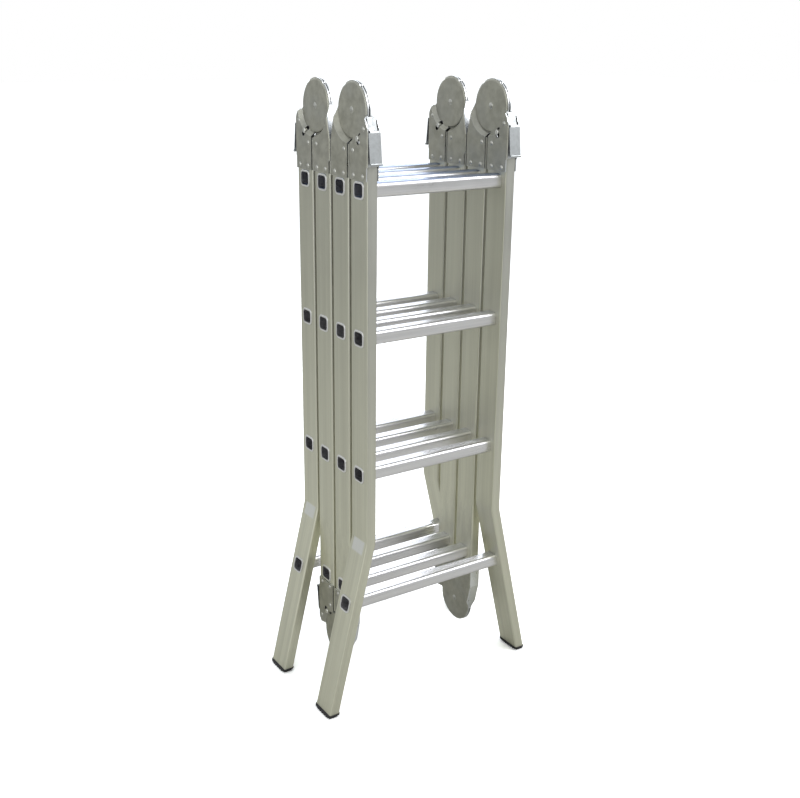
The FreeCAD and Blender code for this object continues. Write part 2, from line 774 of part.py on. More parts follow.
def press_half(doc, name, blank, hand, open_area, disc_inner, ramp, ramp_width):
    """Hollow a blank into a folded sheet: discs near the middle, ramps out to the leg's plates."""
    disc_outer = f"({disc_inner} + Dims.hinge_sheet)"
    rise = f"({LEG_INNER} - {disc_inner})"
    # The inside of a bend lies off the outside by the sheet's thickness times the half-angle's tangent.
    lag = f"(Dims.hinge_sheet * tan(atan({rise} / {ramp_width}) / 2))"
    ramp_end = f"{ramp} + {ramp_width}"
    recess = cone_pair(doc, f"{name}_recess", disc_outer, ramp, HALF_GRIP, ramp_end)
    core = cone_pair(doc, f"{name}_core", disc_inner, f"{ramp} + {lag}", LEG_INNER, f"{ramp_end} + {lag}")
    hollow = doc.addObject("PartDesign::Body", f"{name}_hollow")
    inside = new_sketch(hollow, "YZ_Plane", "Inside")
    add_polygon(inside, on_half(hand, open_area))
    pad(hollow, inside, f"2 * {LEG_INNER}")
    cored = cut(doc, f"{name}_cored", hollow, fuse(doc, f"{name}_cores", core))
    half = cut(doc, name, blank, fuse(doc, f"{name}_tools", [cored, *recess]))
    half.Refine = True
    half.Label = name
    return half


def lock_half(doc, hinge, side):
    """The hinge half that carries the lock pin and the release lever; its web leaves the top open."""
    name = f"{hinge}_lock_plate_{side}"
    body = doc.addObject("PartDesign::Body", f"{name}_blank")
    front = (("Dims.web_face", "Dims.web_low"), ("Dims.web_face", "Dims.web_high"))
    disc_face = "(Dims.lock_disc_inner + Dims.hinge_sheet)"
    disc_pad = half_blank(body, -1, front, LOCK_SHOULDER, "Dims.lock_disc", disc_face)
    round_edges(body, disc_pad, disc_edges(disc_pad, "Dims.lock_disc", disc_face), "Dims.lock_disc_round")
    half_holes(body, -1)
    lever_hole = new_sketch(body, "YZ_Plane", "LeverHole")
    add_circle(lever_hole, "-Dims.lever_out", "-Dims.lever_down", "Dims.rivet_radius + Dims.fit_gap")
    pocket(body, lever_hole)
    cut_pin_slot(body, "Dims.slot_start", "Dims.slot_end", "Dims.slot_radius")
    web_inner = "(Dims.web_face - Dims.hinge_sheet)"
    open_area = (
        (-FAR, FAR),
        (FAR, FAR),
        (FAR, "Dims.web_low"),
        (web_inner, "Dims.web_low"),
        (web_inner, "Dims.web_high"),
        (FAR, "Dims.web_high"),
        (FAR, -FAR),
        (-FAR, -FAR),
    )
    ramp = ("Dims.lock_ramp", "Dims.lock_ramp_width")
    half = press_half(doc, name, body, -1, open_area, "Dims.lock_disc_inner", *ramp)
    hinge_place(half, hinge, side)
    return half


def disc_edges(disc_pad, radius, face):
    """Names of a disc pad's rim edges, where the rim meets the disc's two outer faces."""
    doc = disc_pad.Document
    doc.recompute()
    face_x = number(doc, face)
    names = []
    for index, edge in enumerate(disc_pad.Shape.Edges, start=1):
        on_face = all(abs(abs(vertex.X) - face_x) < 0.01 for vertex in edge.Vertexes)
        on_rim = isinstance(edge.Curve, Part.Circle) and abs(edge.Curve.Radius - number(doc, radius)) < 0.01
        if on_face and on_rim:
            names.append(f"Edge{index}")
    return names


def cut_pin_slot(body, start, end, radius):
    """Cut a slot along the lock pin's travel, which points from the pivot at the lock's angle."""
    turn = 180 - number(body.Document, "Dims.lock_angle")
    slot = new_sketch(body, "YZ_Plane", "PinSlot", turn=Rotation(Vector(0, 0, 1), turn))
    slot.setExpression("AttachmentOffset.Rotation.Angle", "180 - Dims.lock_angle")
    add_slot(slot, start, end, radius)
    pocket(body, slot)


def disc_half(doc, hinge, side):
    """The hinge half with two notched discs; its web runs up into their rims."""
    name = f"{hinge}_notched_plate_{side}"
    body = doc.addObject("PartDesign::Body", f"{name}_blank")
    front = (
        ("Dims.web_face", "Dims.web_low"),
        ("Dims.web_face", "Dims.rim_web_low"),
        ("Dims.rim_web_out", "-Dims.rim_web_high"),
    )
    disc_face = "(Dims.notched_disc_inner + Dims.hinge_sheet)"
    half_blank(body, 1, front, NOTCHED_SHOULDER, "Dims.notched_disc", disc_face)
    half_holes(body, 1)
    notches = new_sketch(body, "YZ_Plane", "Notches")
    for fold in LOCKED_FOLDS:
        angle = f"((270 - Dims.lock_angle - {fold}) * 1deg)"
        y = f"Dims.pin_locked * cos({angle})"
        z = f"Dims.pin_locked * sin({angle})"
        add_circle(notches, y, z, "Dims.notch_radius")
    pocket(body, notches)
    slope = "atan((Dims.web_face - Dims.rim_web_out) / (Dims.rim_web_low + Dims.rim_web_high))"
    open_area = (
        (-FAR, FAR),
        (FAR, FAR),
        (FAR, "Dims.web_low"),
        ("Dims.web_face - Dims.hinge_sheet", "Dims.web_low"),
        ("Dims.web_face - Dims.hinge_sheet", f"Dims.rim_web_low + Dims.hinge_sheet * tan({slope} / 2)"),
        (f"Dims.rim_web_out - Dims.hinge_sheet / cos({slope})", "-Dims.rim_web_high"),
        (FAR, "-Dims.rim_web_high"),
        (FAR, -FAR),
        (-FAR, -FAR),
    )
    ramp = ("Dims.notched_ramp", "Dims.notched_ramp_width")
    half = press_half(doc, name, body, 1, open_area, "Dims.notched_disc_inner", *ramp)
    hinge_place(half, hinge, side)
    return half


# ---------------------------------------------------------------- lock


def place_on_lock(feature, hinge, side, out, down, x="0", turn=None):
    """Place a piece at an (out, down) point of a hinge's lock half."""
    y, z = lock_point(hinge, out, down)
    place(feature, f"{SIDES[side]} * Dims.stile_centre + {x}", y, z, turn)


def lock_point(hinge, out, down):
    """Height and place in the stack (y, z) of an (out, down) point of a hinge's lock half."""
    data = HINGES[hinge]
    y = f"({data['place']} * Dims.section_pitch + {data['out']} * ({out}))"
    return y, f"({data['height']} + {data['down']} * ({down}))"


def lock_pin(doc, hinge, side):
    """The cross pin that drops into the discs' notches, here drawn back and free."""
    shank = primitive(
        doc,
        "Cylinder",
        "pin_shank",
        x="-Dims.pin_reach",
        turn=Rotation(Vector(0, 1, 0), 90),
        Radius="Dims.pin_radius",
        Height="2 * Dims.pin_reach",
    )
    doc.recompute()
    pin = doc.addObject("Part::Chamfer", f"{hinge}_lock_pin_{side}")
    pin.Base = shank
    size = number(doc, "Dims.pin_chamfer")
    pin.Edges = [(index, size, size) for index, edge in enumerate(shank.Shape.Edges, 1) if edge.Closed]
    pin.Label = f"{hinge}_lock_pin_{side}"
    place_on_lock(pin, hinge, side, PIN_OUT, PIN_DOWN)
    return pin


def release_lever(doc, hinge, side):
    """The release lever: head between the plates, handle down the web, tongue whose eye holds the pin."""
    body = new_body(doc, f"{hinge}_release_lever_{side}")
    hub = ("Dims.lever_out", "Dims.lever_down")
    add_plate(body, "Tongue", LEVER_TONGUE, "Dims.lever_tongue_width")
    add_round(body, "Eye", (PIN_OUT, PIN_DOWN), "Dims.lever_eye", "Dims.lever_tongue_width")
    add_round(body, "Hub", hub, "Dims.lever_hub", "Dims.lever_hub_width")
    add_plate(body, "Bracket", LEVER_BRACKET, "Dims.lever_hub_width")
    add_plate(body, "Head", LEVER_HEAD, "Dims.lever_head_width")
    add_plate(body, "Handle", LEVER_HANDLE, "Dims.lever_handle_width")
    add_round(body, "Bead", LEVER_BEAD, "Dims.lever_bead", "Dims.lever_handle_width")
    bore = new_sketch(body, "YZ_Plane", "Bore")
    add_circle(bore, "-Dims.lever_out", "-Dims.lever_down", "Dims.rivet_radius + Dims.fit_gap")
    pocket(body, bore)
    cut_eye(body)
    hinge_place(body, hinge, side)
    return body


def add_plate(body, name, corners, width):
    """Pad an outline of (out, down) corners of the lock half."""
    sketch = new_sketch(body, "YZ_Plane", name)
    add_polygon(sketch, on_half(-1, corners))
    pad(body, sketch, width)


def add_round(body, name, centre, radius, width):
    """Pad a disc at an (out, down) point of the lock half."""
    sketch = new_sketch(body, "YZ_Plane", name)
    add_circle(sketch, *on_half(-1, (centre,))[0], radius)
    pad(body, sketch, width)


def cut_eye(body):
    """Cut the tongue's eye, a slot long enough for the pin's straight travel."""
    doc = body.Document
    across = number(doc, f"Dims.lever_out - {PIN_OUT}")
    down = number(doc, f"{PIN_DOWN} - Dims.lever_down")
    angle = 180 + math.degrees(math.atan2(across, down))
    eye = new_sketch(body, "YZ_Plane", "EyeSlot")
    hub = Vector(-number(doc, "Dims.lever_out"), -number(doc, "Dims.lever_down"), 0)
    eye.AttachmentOffset = FreeCAD.Placement(hub, Rotation(Vector(0, 0, 1), angle))
    eye.setExpression("AttachmentOffset.Base.x", "-Dims.lever_out")
    eye.setExpression("AttachmentOffset.Base.y", "-Dims.lever_down")
    reach = f"sqrt((Dims.lever_out - {PIN_OUT})^2 + ({PIN_DOWN} - Dims.lever_down)^2)"
    add_slot(eye, f"{reach} - Dims.lever_eye_play", f"{reach} + Dims.lever_eye_play / 2", "Dims.slot_radius")
    pocket(body, eye)


def lever_spring(doc, hinge, side):
    """A torsion spring round the lever's pivot that pushes the lock pin home."""
    name = f"{hinge}_lever_spring_{side}"
    coil = doc.addObject("Part::Helix", f"{name}_coil")
    bind(
        coil,
        Radius="Dims.spring_radius",
        Pitch="Dims.spring_pitch",
        Height="Dims.spring_pitch * Dims.spring_turns",
    )
    wire = doc.addObject("Part::Circle", f"{name}_wire")
    bind(wire, Radius="Dims.spring_wire")
    place(wire, "Dims.spring_radius", "0", "0", Rotation(Vector(1, 0, 0), 90))
    sweep = doc.addObject("Part::Sweep", f"{name}_sweep")
    sweep.Sections = [wire]
    sweep.Spine = (coil, ["Edge1"])
    sweep.Solid = True
    sweep.Frenet = True
    low_arm = primitive(
        doc,
        "Cylinder",
        f"{name}_low_arm",
        x="Dims.spring_radius",
        turn=Rotation(Vector(1, 0, 0), 90),
        Radius="Dims.spring_wire",
        Height="Dims.spring_low_arm",
    )
    high_arm = primitive(
        doc,
        "Cylinder",
        f"{name}_high_arm",
        x="Dims.spring_radius",
        z="Dims.spring_pitch * Dims.spring_turns",
        turn=Rotation(Vector(1, 0, 0), -90),
        Radius="Dims.spring_wire",
        Height="Dims.spring_high_arm",
    )
    spring = fuse(doc, name, [sweep, low_arm, high_arm])
    # The coil's own axis turns onto the pivot's; its arms then point up and down the leg.
    along_pivot = Rotation(Vector(0, -1, 0), Vector(0, 0, -1), Vector(1, 0, 0), "ZXY")
    turn = HINGES[hinge]["turn"] * along_pivot
    start = "Dims.spring_start" if hinge != "rear" else "(-Dims.spring_start)"
    place_on_lock(spring, hinge, side, "Dims.lever_out", "Dims.lever_down", start, turn)
    return spring


# ---------------------------------------------------------------- rivets


def rivet(doc, name, x, y, z, shank, half_grip, head, head_height):
    """A rivet across the hinge with a domed head at each end."""
    shank_part = primitive(
        doc,
        "Cylinder",
        f"{name}_shank",
        x=f"-({half_grip})",
        turn=Rotation(Vector(0, 1, 0), 90),
        Radius=shank,
        Height=f"2 * ({half_grip})",
    )
    dome = f"((({head})^2 + ({head_height})^2) / (2 * ({head_height})))"
    parts = [shank_part]
    for facing in (-1, 1):
        cap = primitive(
            doc,
            "Sphere",
            f"{name}_head",
            x=f"{facing} * ({half_grip} + Dims.fit_gap / 2 + {head_height} - {dome})",
            turn=Rotation(Vector(0, 1, 0), 90 * facing),
            Radius=dome,
            Angle1=f"asin(1 - ({head_height} + Dims.fit_gap / 2) / {dome})",
        )
        parts.append(cap)
    solid = fuse(doc, name, parts)
    place(solid, x, y, z)
    return solid


def section_rivets(doc, section):
    """All rivets that hold a section's hinge legs, and the pivots of the levers it carries."""
    solids = []
    for side, facing in SIDES.items():
        x = f"{facing} * Dims.stile_centre"
        places = []
        for end, toward in SECTIONS[section]["hinges"].items():
            places += hinge_rivets(end, toward)
        places = [(f"{section_y(section)} + {y}", z) for y, z in places]
        for hinge, data in HINGES.items():
            if data["lock"] == section:
                places.append(lock_point(hinge, "Dims.lever_out", "Dims.lever_down"))
        for y, z in places:
            solids.append(
                rivet(
                    doc,
                    f"{section}_rivet",
                    x,
                    y,
                    z,
                    "Dims.rivet_radius",
                    HALF_GRIP,
                    "Dims.rivet_head",
                    "Dims.rivet_head_height",
                )
            )
    return group(doc, f"{section}_rivets", solids)


def pivot_set(doc, hinge):
    """The two pivot rivets of a hinge pair, each with the spacer washer between its discs."""
    data = HINGES[hinge]
    solids = []
    y = f"{data['place']} * Dims.section_pitch"
    for facing in SIDES.values():
        x = f"{facing} * Dims.stile_centre"
        solids.append(
            rivet(
                doc,
                f"{hinge}_pivot",
                x,
                y,
                data["height"],
                "Dims.pivot_radius",
                "(Dims.lock_disc_inner + Dims.hinge_sheet)",
                "Dims.pivot_head",
                "Dims.pivot_head_height",
            )
        )
        washer = primitive(
            doc,
            "Cylinder",
            f"{hinge}_washer",
            Radius="Dims.spacer_radius",
            Height="2 * (Dims.notched_disc_inner - Dims.fit_gap)",
        )
        bore = primitive(
            doc,
            "Cylinder",
            f"{hinge}_washer_bore",
            Radius="Dims.pivot_radius + Dims.fit_gap",
            Height="2 * Dims.notched_disc_inner",
        )
        spacer = cut(doc, f"{hinge}_spacer", washer, bore)
        start = f"{x} - (Dims.notched_disc_inner - Dims.fit_gap)"
        place(spacer, start, y, data["height"], Rotation(Vector(0, 1, 0), 90))
        solids.append(spacer)
    return group(doc, f"{hinge}_pivot_rivets", solids)


# ---------------------------------------------------------------- the ladder


def build_sections(doc):
    """Stiles, rungs, feet and rivets of every section."""
    nodes = []
    for section, data in SECTIONS.items():
        for side in SIDES:
            make_stile = splayed_stile if data["splayed"] else straight_stile
            nodes.append(make_stile(doc, section, side))
        for level in range(1, RUNGS + 1):
            nodes.append(rung(doc, section, level))
        if data["splayed"]:
            feet = [foot(doc, section, side) for side in SIDES]
            nodes.append(group(doc, f"{section}_feet", feet))
        nodes.append(section_rivets(doc, section))
    return nodes


def build_hinges(doc):
    """Both halves, lock, lever, springs and pivots of every hinge pair."""
    nodes = []
    for hinge in HINGES:
        for side in SIDES:
            nodes.append(lock_half(doc, hinge, side))
            nodes.append(disc_half(doc, hinge, side))
            nodes.append(lock_pin(doc, hinge, side))
            nodes.append(release_lever(doc, hinge, side))
        springs = [lever_spring(doc, hinge, side) for side in SIDES]
        nodes.append(group(doc, f"{hinge}_lever_springs", springs))
        nodes.append(pivot_set(doc, hinge))
    return nodes


def check(doc, nodes):
    """Stop if any feature failed or any sub-part has no valid shape."""
    for feature in doc.Objects:
        if "Invalid" in feature.State or "Error" in feature.State:
            raise RuntimeError(f"{feature.Name} ({feature.Label}) failed: {feature.State}")
    for node in nodes:
        if node.Shape.isNull() or not node.Shape.isValid():
            raise RuntimeError(f"{node.Label} has no valid shape")
        if not node.Shape.Solids:
            raise RuntimeError(f"{node.Label} holds no solid")


def main():
    doc = FreeCAD.newDocument("MultiPositionLadder")
    make_sheet(doc)
    nodes = build_sections(doc) + build_hinges(doc)
    doc.recompute()
    check(doc, nodes)
    os.makedirs("parts", exist_ok=True)
    for node in nodes:
        node.Shape.exportStep(f"parts/{node.Label}.step")


main()
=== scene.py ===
"""Looks of the folded multi position ladder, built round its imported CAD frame."""

import json
import math

import bpy
from mathutils import Matrix, Vector

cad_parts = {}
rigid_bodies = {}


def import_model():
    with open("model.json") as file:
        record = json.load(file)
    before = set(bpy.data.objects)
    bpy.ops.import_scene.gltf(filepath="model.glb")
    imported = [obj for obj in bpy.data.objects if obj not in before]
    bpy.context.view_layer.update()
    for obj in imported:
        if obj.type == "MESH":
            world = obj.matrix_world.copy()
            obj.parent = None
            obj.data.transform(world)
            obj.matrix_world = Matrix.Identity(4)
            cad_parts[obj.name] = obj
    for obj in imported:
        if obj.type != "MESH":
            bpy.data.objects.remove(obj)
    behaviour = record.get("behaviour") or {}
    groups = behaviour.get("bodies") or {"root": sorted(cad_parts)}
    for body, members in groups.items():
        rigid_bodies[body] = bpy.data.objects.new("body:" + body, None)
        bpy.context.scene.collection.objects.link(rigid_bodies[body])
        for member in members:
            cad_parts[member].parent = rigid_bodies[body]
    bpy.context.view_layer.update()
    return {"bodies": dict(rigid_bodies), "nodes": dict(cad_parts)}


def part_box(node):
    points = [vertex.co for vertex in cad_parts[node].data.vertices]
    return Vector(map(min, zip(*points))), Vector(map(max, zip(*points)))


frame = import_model()

# Camera: where it stands and how it is turned, in metres and degrees.
CAMERA_PLACE = Vector((-1.187, -1.782, 1.348))
CAMERA_YAW = 33.51
CAMERA_PITCH = 18.75
CAMERA_ROLL = 0.71
CAMERA_LENS = 48.0
SENSOR = 36.0

# The bend of the outer stiles, read back from the frame: the leg leans out below it.
STILE_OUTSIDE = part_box("front_inner_stile_right")[1].x
LEG_LOW, LEG_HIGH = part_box("front_outer_stile_right")
LEG_LEAN = math.tan(math.radians(13.5))
BEND_HEIGHT = LEG_LOW.z + (LEG_HIGH.x - STILE_OUTSIDE) / LEG_LEAN

# The patch pressed in at the bend: how far its middle is below it, its size and its soft border.
DENT_MIDDLE = 0.012
DENT_HALF_HEIGHT = 0.0155
DENT_HALF_WIDTH = 0.022
DENT_BORDER = 0.004
OUTER_SECTION_Y = 0.102

# Aluminium of the stiles and rungs: the drawn metal and the darker streaks in it.
STILE_METAL = (0.80, 0.795, 0.66)
STILE_STREAK = (0.65, 0.645, 0.53)
RUNG_METAL = (0.88, 0.87, 0.88)
RUNG_STREAK = (0.72, 0.715, 0.735)

# How fine the die lines are across an extrusion, and how long along it (noise scale per metre).
LINES_ACROSS = 420.0
LINES_ALONG = 5.0

# Greys of the stiles' tops; painted shade on their front faces; and the pressed patch at the bend,
# rubbed bright metal with a painted highlight of the sky.
STILE_TOP_GREY = (0.45, 0.45, 0.395)
STILE_FRONT_PAINTED_SHADE = (0.54, 0.54, 0.53)
DENT_RUBBED_AND_HIGHLIGHT = (0.86, 0.87, 0.88)

# The rungs' rims with a painted highlight, their up-facing treads with painted shade, and a painted
# blue sky reflection on the topmost treads.
RIM_PAINTED_HIGHLIGHT = (0.86, 0.86, 0.85)
TREAD_PAINTED_SHADE = (0.54, 0.55, 0.60)
TREAD_PAINTED_SKY = (0.30, 0.40, 0.64)

# The hinge plates' zinc: two greys of the mottle, clouds over it, a painted highlight on rims and
# edges, and painted shade in corners and between the plates.
ZINC_DARK = (0.37, 0.365, 0.31)
ZINC_LIGHT = (0.485, 0.48, 0.415)
ZINC_CLOUD = (0.42, 0.425, 0.41)
ZINC_PAINTED_HIGHLIGHT = (0.88, 0.9, 0.93)
ZINC_PAINTED_SHADE = (0.06, 0.058, 0.05)

# Small steel pieces.
LEVER_METAL = (0.52, 0.54, 0.55)
PIN_METAL = (0.8, 0.8, 0.76)
SPRING_METAL = (0.32, 0.32, 0.33)
RIVET_METAL = (0.56, 0.56, 0.52)
# Painted highlight on the steel pieces' edges.
STEEL_PAINTED_HIGHLIGHT = (0.92, 0.92, 0.9)

# The feet's rubber: clean, dusty, scuffed near the ground, and a painted sheen on its edges.
RUBBER_CLEAN = (0.016, 0.016, 0.018)
RUBBER_DUST = (0.05, 0.048, 0.045)
RUBBER_SCUFF = (0.12, 0.115, 0.105)
RUBBER_PAINTED_SHEEN = (0.085, 0.085, 0.085)

# How bright the floor is to the camera, and in reflections and bounced light.
FLOOR_SEEN = (1.55, 1.55, 1.55)
FLOOR_REFLECTED = (0.5, 0.495, 0.47)
FLOOR_SIZE = 60.0
FLOOR_GAP = 0.0004

# The studio's light from all round: from dim to bright toward one side, white to the camera.
WHITE = (1.0, 1.0, 1.0)
STUDIO_TINT = (0.95, 0.98, 1.0)
STUDIO_DIM = 0.38
STUDIO_BRIGHT = 0.98
STUDIO_SIDE = Vector((0.55, 0.55, 0.62)).normalized()

# The middle of the ladder, which the lights are aimed at.
LADDER_MIDDLE = Vector((0.0, 0.0, 0.65))


# ---------------------------------------------------------------- node trees


class NodeTree:
    """Adds nodes to one emptied node tree with short calls."""

    def __init__(self, tree):
        self.tree = tree
        self.tree.nodes.clear()

    def node(self, kind, **settings):
        """A new node of a kind, with its settings."""
        made = self.tree.nodes.new("ShaderNode" + kind)
        for key, value in settings.items():
            setattr(made, key, value)
        return made

    def join(self, source, target):
        """Link an output to an input."""
        self.tree.links.new(source, target)

    def feed(self, target, value):
        """Link a socket to an input, or set the input to a plain value."""
        if isinstance(value, bpy.types.NodeSocket):
            self.join(value, target)
        else:
            target.default_value = value

    def feed_colour(self, target, colour):
        """Link a socket to a colour input, or set the input to a plain opaque colour."""
        plain = not isinstance(colour, bpy.types.NodeSocket)
        self.feed(target, (*colour, 1.0) if plain else colour)

    def math(self, operation, *values, clamp=False):
        """One sum on numbers or sockets."""
        made = self.node("Math", operation=operation, use_clamp=clamp)
        for target, value in zip(made.inputs, values):
            self.feed(target, value)
        return made.outputs[0]

    def span(self, value, low, high, to_low=0.0, to_high=1.0, smooth=False):
        """Map a value's range onto another, clamped."""
        kind = "SMOOTHSTEP" if smooth else "LINEAR"
        made = self.node("MapRange", interpolation_type=kind)
        self.feed(made.inputs[0], value)
        for index, number in enumerate((low, high, to_low, to_high), start=1):
            made.inputs[index].default_value = number
        return made.outputs[0]

    def mix(self, share, first, second):
        """Mix two colours by a share from 0 to 1."""
        made = self.node("Mix", data_type="RGBA")
        self.feed(made.inputs[0], share)
        for target, colour in ((made.inputs[6], first), (made.inputs[7], second)):
            self.feed_colour(target, colour)
        return made.outputs[2]

    def split(self, vector):
        """A vector's three numbers."""
        made = self.node("SeparateXYZ")
        self.join(vector, made.inputs[0])
        return made.outputs

    def combine(self, x, y, z):
        """A vector from three numbers."""
        made = self.node("CombineXYZ")
        for target, value in zip(made.inputs, (x, y, z)):
            self.feed(target, value)
        return made.outputs[0]


class Shader(NodeTree):
    """One material's node tree, made round a principled surface."""

    def __init__(self, name):
        self.material = bpy.data.materials.new(name)
        self.material.use_nodes = True
        super().__init__(self.material.node_tree)
        self.surface = self.node("BsdfPrincipled")
        self.join(self.surface.outputs[0], self.node("OutputMaterial").inputs[0])
        self.place = self.node("TexCoord").outputs["Object"]
        self.normal = self.node("NewGeometry").outputs["Normal"]

    def scaled(self, scale, place=None):
        """Coordinates stretched by a vector, for grain that runs one way."""
        made = self.node("VectorMath", operation="MULTIPLY")
        self.feed(made.inputs[0], place or self.place)
        made.inputs[1].default_value = scale
        return made.outputs[0]

    def noise(self, scale, place=None, detail=3.0, roughness=0.55):
        """Soft noise from 0 to 1, with a scale per metre."""
        made = self.node("TexNoise")
        self.feed(made.inputs["Vector"], place or self.place)
        made.inputs["Scale"].default_value = scale
        made.inputs["Detail"].default_value = detail
        made.inputs["Roughness"].default_value = roughness
        return made.outputs[0]

    def bump(self, height, distance, under=None):
        """A normal raised by a height from 0 to 1 over a distance, on top of another bump."""
        made = self.node("Bump")
        made.inputs["Strength"].default_value = 1.0
        made.inputs["Distance"].default_value = distance
        self.join(height, made.inputs["Height"])
        if under is not None:
            self.join(under, made.inputs["Normal"])
        return made.outputs[0]

    def edges(self, radius):
        """1 where the surface turns sharply within a radius, 0 on flats."""
        rounded = self.node("Bevel", samples=4)
        rounded.inputs["Radius"].default_value = radius
        dot = self.node("VectorMath", operation="DOT_PRODUCT")
        self.join(rounded.outputs[0], dot.inputs[0])
        self.join(self.normal, dot.inputs[1])
        return self.span(dot.outputs["Value"], 0.995, 0.8, smooth=True)

    def crevice(self, distance):
        """1 deep in a corner between pieces, 0 in the open."""
        shade = self.node("AmbientOcclusion", samples=6)
        shade.inputs["Distance"].default_value = distance
        return self.span(shade.outputs["AO"], 0.7, 0.25, smooth=True)

    def finish(self, colour, metal, rough, bump=None):
        """Feed the surface and hand over the material."""
        inputs = self.surface.inputs
        self.feed_colour(inputs["Base Color"], colour)
        self.feed(inputs["Metallic"], metal)
        self.feed(inputs["Roughness"], rough)
        if bump is not None:
            self.join(bump, inputs["Normal"])
        return self.material


def darker(colour, share):
    """A colour scaled down to a share of itself."""
    return [channel * share for channel in colour]


# ---------------------------------------------------------------- materials


def along_leg(shader):
    """Coordinates that run straight down a stile, following the lean of a splayed leg."""
    x, y, z = shader.split(shader.place)
    below = shader.math("MAXIMUM", shader.math("SUBTRACT", BEND_HEIGHT, z), 0.0)
    shift = shader.math("MULTIPLY", below, LEG_LEAN)
    across = shader.math("SUBTRACT", shader.math("ABSOLUTE", x), shift)
    return shader.combine(across, y, z)


def pressed_patch(shader, place):
    """1 on the patch pressed into the outer face at an outer stile's bend, 0 elsewhere."""
    across, y, z = shader.split(place)
    from_bend = shader.math("SUBTRACT", z, BEND_HEIGHT - DENT_MIDDLE)
    from_bend = shader.math("ABSOLUTE", from_bend)
    upright = shader.span(from_bend, DENT_HALF_HEIGHT, DENT_HALF_HEIGHT - DENT_BORDER)
    from_section = shader.math("SUBTRACT", shader.math("ABSOLUTE", y), OUTER_SECTION_Y)
    from_middle = shader.math("ABSOLUTE", from_section)
    sideways = shader.span(from_middle, DENT_HALF_WIDTH, DENT_HALF_WIDTH - DENT_BORDER)
    outside = shader.span(across, STILE_OUTSIDE - 0.006, STILE_OUTSIDE - 0.003)
    return shader.math("MULTIPLY", shader.math("MULTIPLY", upright, sideways), outside)


def stile_tone(shader, place, colour):
    """Greyer toward the top of a stile, painted shade on its front faces, and on the pressed patch
    rubbed bright metal with a painted highlight of the sky.
    """
    height = shader.split(place)[2]
    colour = shader.mix(shader.span(height, 0.35, 1.15, 0.0, 0.6), colour, STILE_TOP_GREY)
    # Painted shade on the front faces of the stiles' upper parts.
    front = shader.span(shader.split(shader.normal)[1], -0.5, -0.9, 0.0, 0.55)
    upper = shader.span(height, 0.3, 0.9)
    colour = shader.mix(shader.math("MULTIPLY", front, upper), colour, STILE_FRONT_PAINTED_SHADE)
    # The pressed patch: rubbed bright metal with a painted highlight, lighter and cooler.
    pressed = pressed_patch(shader, place)
    return shader.mix(shader.math("MULTIPLY", pressed, 0.7), colour, DENT_RUBBED_AND_HIGHLIGHT)


def rung_tone(shader, colour):
    """Painted highlight on the swaged rims, painted shade on the up-facing treads, and a painted blue
    sky reflection on the topmost treads.
    """
    side = shader.math("ABSOLUTE", shader.split(shader.normal)[0])
    upward = shader.span(shader.split(shader.normal)[2], 0.6, 0.95)
    height = shader.split(shader.place)[2]
    # Painted shade on the up-facing treads.
    colour = shader.mix(shader.math("MULTIPLY", upward, 0.6), colour, TREAD_PAINTED_SHADE)
    # Painted blue sky reflection on the topmost treads.
    sky_reflection = shader.math("MULTIPLY", upward, shader.span(height, 0.85, 1.05, 0.0, 0.85))
    colour = shader.mix(sky_reflection, colour, TREAD_PAINTED_SKY)
    # Painted highlight on the rims.
    return shader.mix(shader.span(side, 0.6, 0.9, 0.0, 0.8), colour, RIM_PAINTED_HIGHLIGHT)


def aluminium(name, metal, streak, grain, rough, edge_highlight, leg=False):
    """Extruded aluminium: die lines along the extrusion, smudges, fine pits, a painted highlight on
    the edges, and painted shade in the stiles' corners and gaps.
    """
    shader = Shader(name)
    place = along_leg(shader) if leg else shader.place
    lines = shader.noise(1.0, shader.scaled(grain, place), detail=4.0, roughness=0.65)
    coarse_grain = [scale / 6 for scale in grain]
    coarse = shader.noise(1.0, shader.scaled(coarse_grain, place), detail=2.0)
    smudge = shader.noise(9.0, detail=4.0, roughness=0.6)
    pits = shader.noise(900.0, detail=2.0)
    fine = shader.span(lines, 0.3, 0.7, -0.5, 0.5)
    streaks = shader.math("ADD", fine, shader.span(coarse, 0.3, 0.7, -0.5, 0.5))
    piece = shader.node("ObjectInfo").outputs["Random"]
    own_tone = shader.span(piece, 0.0, 1.0, -0.15, 0.15)
    share = shader.math("ADD", shader.span(streaks, -0.8, 0.8), own_tone, clamp=True)
    colour = shader.mix(share, streak, metal)
    smudged = shader.span(smudge, 0.52, 0.75, 0.0, 0.35)
    colour = shader.mix(smudged, colour, darker(metal, 0.86))
    if leg:
        colour = stile_tone(shader, place, colour)
        # Painted shade in corners and in the gaps between the stiles.
        painted_crevice_shade = shader.math("MULTIPLY", shader.crevice(0.008), 0.6)
        colour = shader.mix(painted_crevice_shade, colour, darker(metal, 0.35))
    else:
        colour = rung_tone(shader, colour)
    # Painted highlight along the edges.
    edge = shader.edges(0.0012)
    edge_highlight_colour = [min(1.0, channel * 1.35) for channel in metal]
    colour = shader.mix(shader.math("MULTIPLY", edge, edge_highlight), colour, edge_highlight_colour)
    roughness = shader.span(smudge, 0.3, 0.75, rough - 0.05, rough + 0.1)
    roughness = shader.math("ADD", roughness, shader.span(lines, 0.3, 0.7, -0.05, 0.05))
    roughness = shader.math("SUBTRACT", roughness, shader.math("MULTIPLY", edge, 0.12))
    bump = shader.bump(lines, 0.00006)
    bump = shader.bump(pits, 0.00002, under=bump)
    return shader.finish(colour=colour, metal=1.0, rough=roughness, bump=bump)


